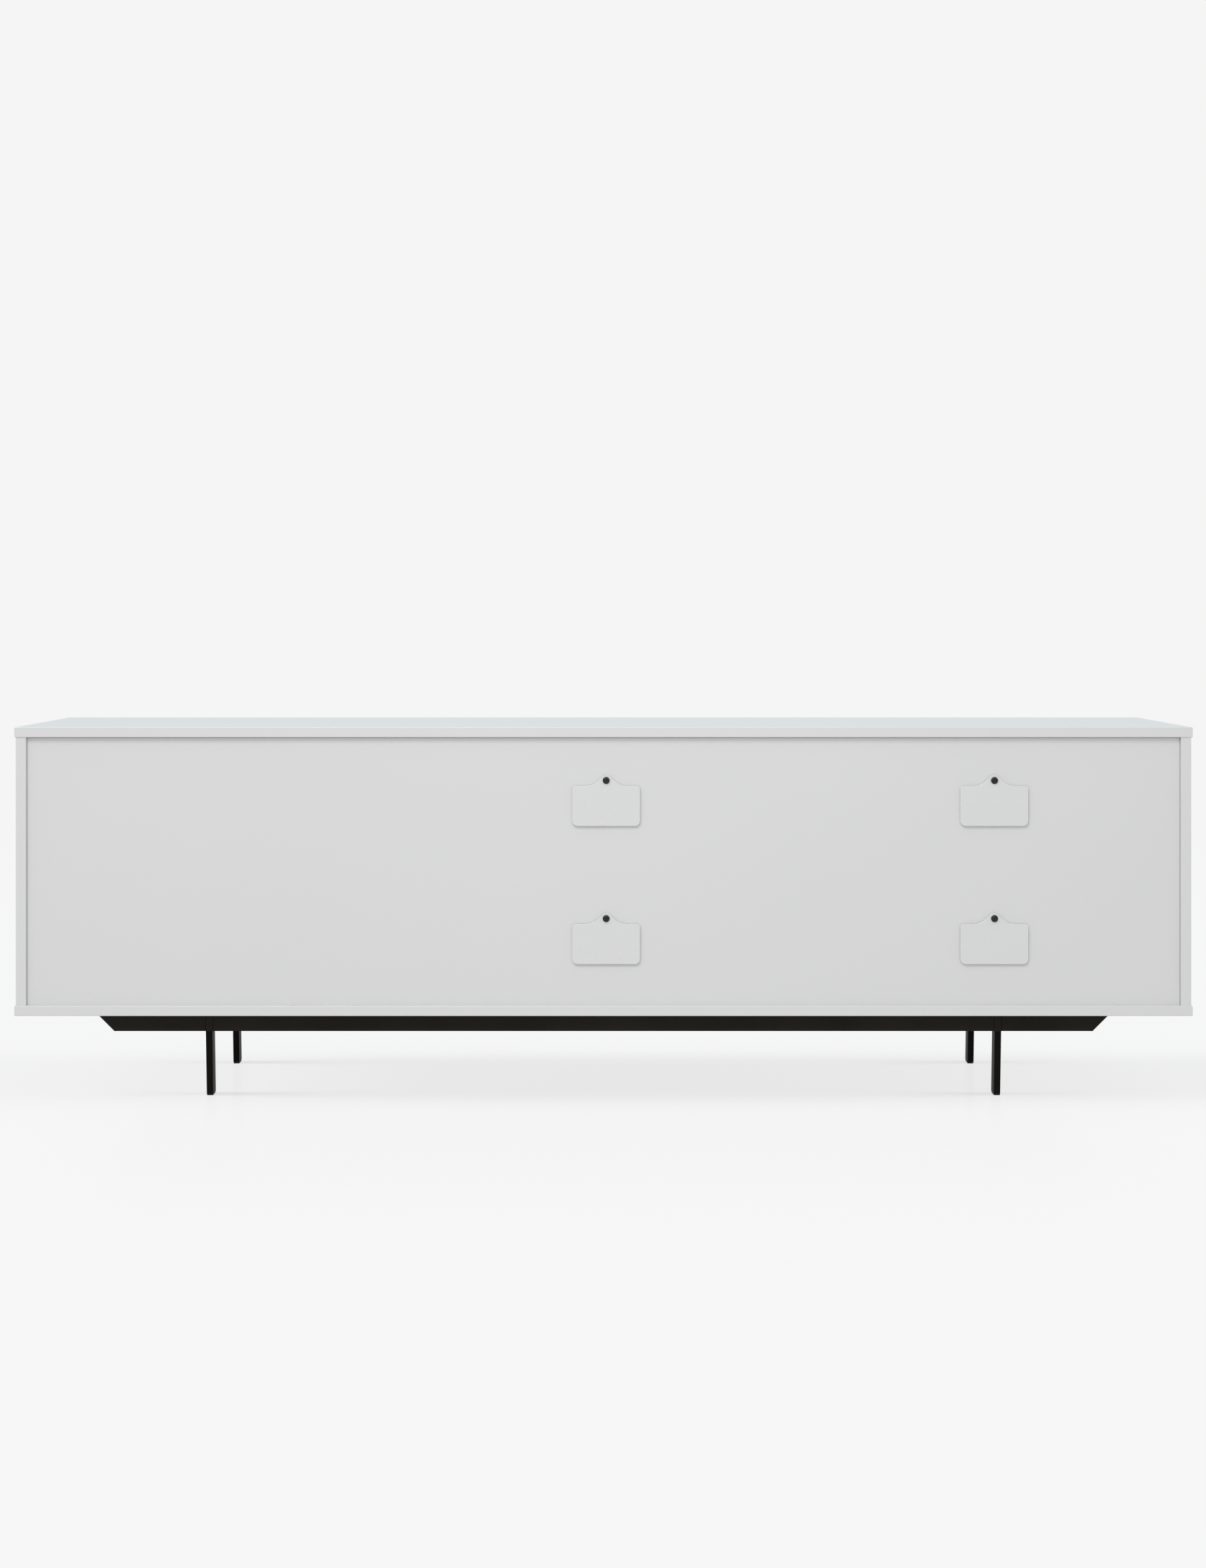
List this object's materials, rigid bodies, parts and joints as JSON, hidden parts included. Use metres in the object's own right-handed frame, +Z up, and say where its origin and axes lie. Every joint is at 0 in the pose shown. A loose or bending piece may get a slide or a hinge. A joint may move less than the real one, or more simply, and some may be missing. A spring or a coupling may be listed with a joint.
{
  "type": "media console",
  "caption": "Long low white-lacquered media console with hinged doors, drawers and swivelling cable-access covers in its back, on a slim black steel base.",
  "frame": {"origin": "on the floor under the middle of the cabinet", "axes": "+Z up; the front with its doors and drawers faces -Y, the cable covers are on the +Y side; +X is to the right seen from the front"},
  "size_m": [2.2, 0.45, 0.697],
  "materials": {
    "white_lacquer": "satin white lacquer on fibreboard",
    "cover_lacquer": "satin white lacquer on thin board",
    "drawer_box_board": "matte white foil",
    "drawer_bottom_board": "matte white foil",
    "black_powder_coat": "fine-textured satin black powder coat",
    "black_oxide_steel": "black oxide",
    "zinc_steel": "zinc plated",
    "black_plastic": "matte",
    "white_plastic": "matte",
    "clear_rubber": "translucent soft pad",
    "beech": "raw beech"
  },
  "bodies": {
    "cabinet": {"top_panel": "white_lacquer", "bottom_panel": "white_lacquer", "side_panel_left": "white_lacquer", "side_panel_right": "white_lacquer", "partition_left": "white_lacquer", "partition_right": "white_lacquer", "back_panel": "white_lacquer", "shelf_left": "white_lacquer", "shelf_centre": "white_lacquer", "shelf_pins": "zinc_steel", "carcass_dowels": "beech", "back_dowels": "beech", "rear_beam": "black_powder_coat", "front_beam": "black_powder_coat", "beam_end_caps": "black_powder_coat", "cross_rail_left": "black_powder_coat", "cross_rail_right": "black_powder_coat", "leg_front_left": "black_powder_coat", "leg_front_right": "black_powder_coat", "leg_rear_left": "black_powder_coat", "leg_rear_right": "black_powder_coat", "glides": "black_plastic", "frame_tabs": "black_powder_coat", "frame_screws": "black_oxide_steel", "frame_inserts": "zinc_steel", "pivot_bushes": "white_plastic", "latch_housings": "white_plastic", "bumpers": "clear_rubber", "cover_screws": "black_oxide_steel", "cover_washers": "zinc_steel", "drawer_upper_cabinet_slides": "zinc_steel", "drawer_lower_cabinet_slides": "zinc_steel"},
    "door_left": {"door_left_panel": "white_lacquer", "door_left_pins": "zinc_steel", "door_left_strike": "zinc_steel"},
    "door_centre": {"door_centre_panel": "white_lacquer", "door_centre_pins": "zinc_steel", "door_centre_strike": "zinc_steel"},
    "latch_plunger_left": {"latch_plunger_left": "white_plastic"},
    "latch_plunger_centre": {"latch_plunger_centre": "white_plastic"},
    "drawer_upper": {"drawer_upper_front": "white_lacquer", "drawer_upper_side_left": "drawer_box_board", "drawer_upper_side_right": "drawer_box_board", "drawer_upper_back": "drawer_box_board", "drawer_upper_bottom": "drawer_bottom_board", "drawer_upper_drawer_slides": "zinc_steel"},
    "drawer_upper_middle_slides": {"drawer_upper_middle_slides": "zinc_steel"},
    "drawer_lower": {"drawer_lower_front": "white_lacquer", "drawer_lower_side_left": "drawer_box_board", "drawer_lower_side_right": "drawer_box_board", "drawer_lower_back": "drawer_box_board", "drawer_lower_bottom": "drawer_bottom_board", "drawer_lower_drawer_slides": "zinc_steel"},
    "drawer_lower_middle_slides": {"drawer_lower_middle_slides": "zinc_steel"},
    "cable_cover_left_upper": {"cable_cover_left_upper": "cover_lacquer"},
    "cable_cover_left_lower": {"cable_cover_left_lower": "cover_lacquer"},
    "cable_cover_centre_upper": {"cable_cover_centre_upper": "cover_lacquer"},
    "cable_cover_centre_lower": {"cable_cover_centre_lower": "cover_lacquer"}
  },
  "joints": [
    {"name": "door_left_hinge", "type": "hinge", "parent": "cabinet", "child": "door_left", "pos_m": [-1.0882, -0.2132, 0.4275], "axis": [0, 0, -1], "range_deg": [0, 100]},
    {"name": "door_centre_hinge", "type": "hinge", "parent": "cabinet", "child": "door_centre", "pos_m": [0.35123, -0.2132, 0.4275], "axis": [0, 0, 1], "range_deg": [0, 90]},
    {"name": "latch_left_slide", "type": "slide", "parent": "cabinet", "child": "latch_plunger_left", "axis": [0, -1, 0], "range_m": [0, 0.012]},
    {"name": "latch_centre_slide", "type": "slide", "parent": "cabinet", "child": "latch_plunger_centre", "axis": [0, -1, 0], "range_m": [0, 0.012]},
    {"name": "drawer_upper_slide", "type": "slide", "parent": "cabinet", "child": "drawer_upper", "axis": [0, -1, 0], "range_m": [0, 0.34]},
    {"name": "drawer_upper_middle_slide", "type": "slide", "parent": "cabinet", "child": "drawer_upper_middle_slides", "axis": [0, -1, 0], "range_m": [0, 0.17]},
    {"name": "drawer_lower_slide", "type": "slide", "parent": "cabinet", "child": "drawer_lower", "axis": [0, -1, 0], "range_m": [0, 0.34]},
    {"name": "drawer_lower_middle_slide", "type": "slide", "parent": "cabinet", "child": "drawer_lower_middle_slides", "axis": [0, -1, 0], "range_m": [0, 0.17]},
    {"name": "cover_left_upper_swivel", "type": "hinge", "parent": "cabinet", "child": "cable_cover_left_upper", "pos_m": [-0.73047, 0.218, 0.5975], "axis": [0, 1, 0], "range_deg": [-100, 100]},
    {"name": "cover_left_lower_swivel", "type": "hinge", "parent": "cabinet", "child": "cable_cover_left_lower", "pos_m": [-0.73047, 0.218, 0.3395], "axis": [0, 1, 0], "range_deg": [-175, 175]},
    {"name": "cover_centre_upper_swivel", "type": "hinge", "parent": "cabinet", "child": "cable_cover_centre_upper", "pos_m": [-0.005, 0.218, 0.5975], "axis": [0, 1, 0], "range_deg": [-100, 100]},
    {"name": "cover_centre_lower_swivel", "type": "hinge", "parent": "cabinet", "child": "cable_cover_centre_lower", "pos_m": [-0.005, 0.218, 0.3395], "axis": [0, 1, 0], "range_deg": [-175, 175]}
  ],
  "couplings": [
    {"joint": "latch_left_slide", "follows": "door_left_hinge", "m_per_rad": 0.0068},
    {"joint": "latch_centre_slide", "follows": "door_centre_hinge", "m_per_rad": 0.0076},
    {"joint": "drawer_upper_middle_slide", "follows": "drawer_upper_slide", "ratio": 0.5},
    {"joint": "drawer_lower_middle_slide", "follows": "drawer_lower_slide", "ratio": 0.5}
  ]
}
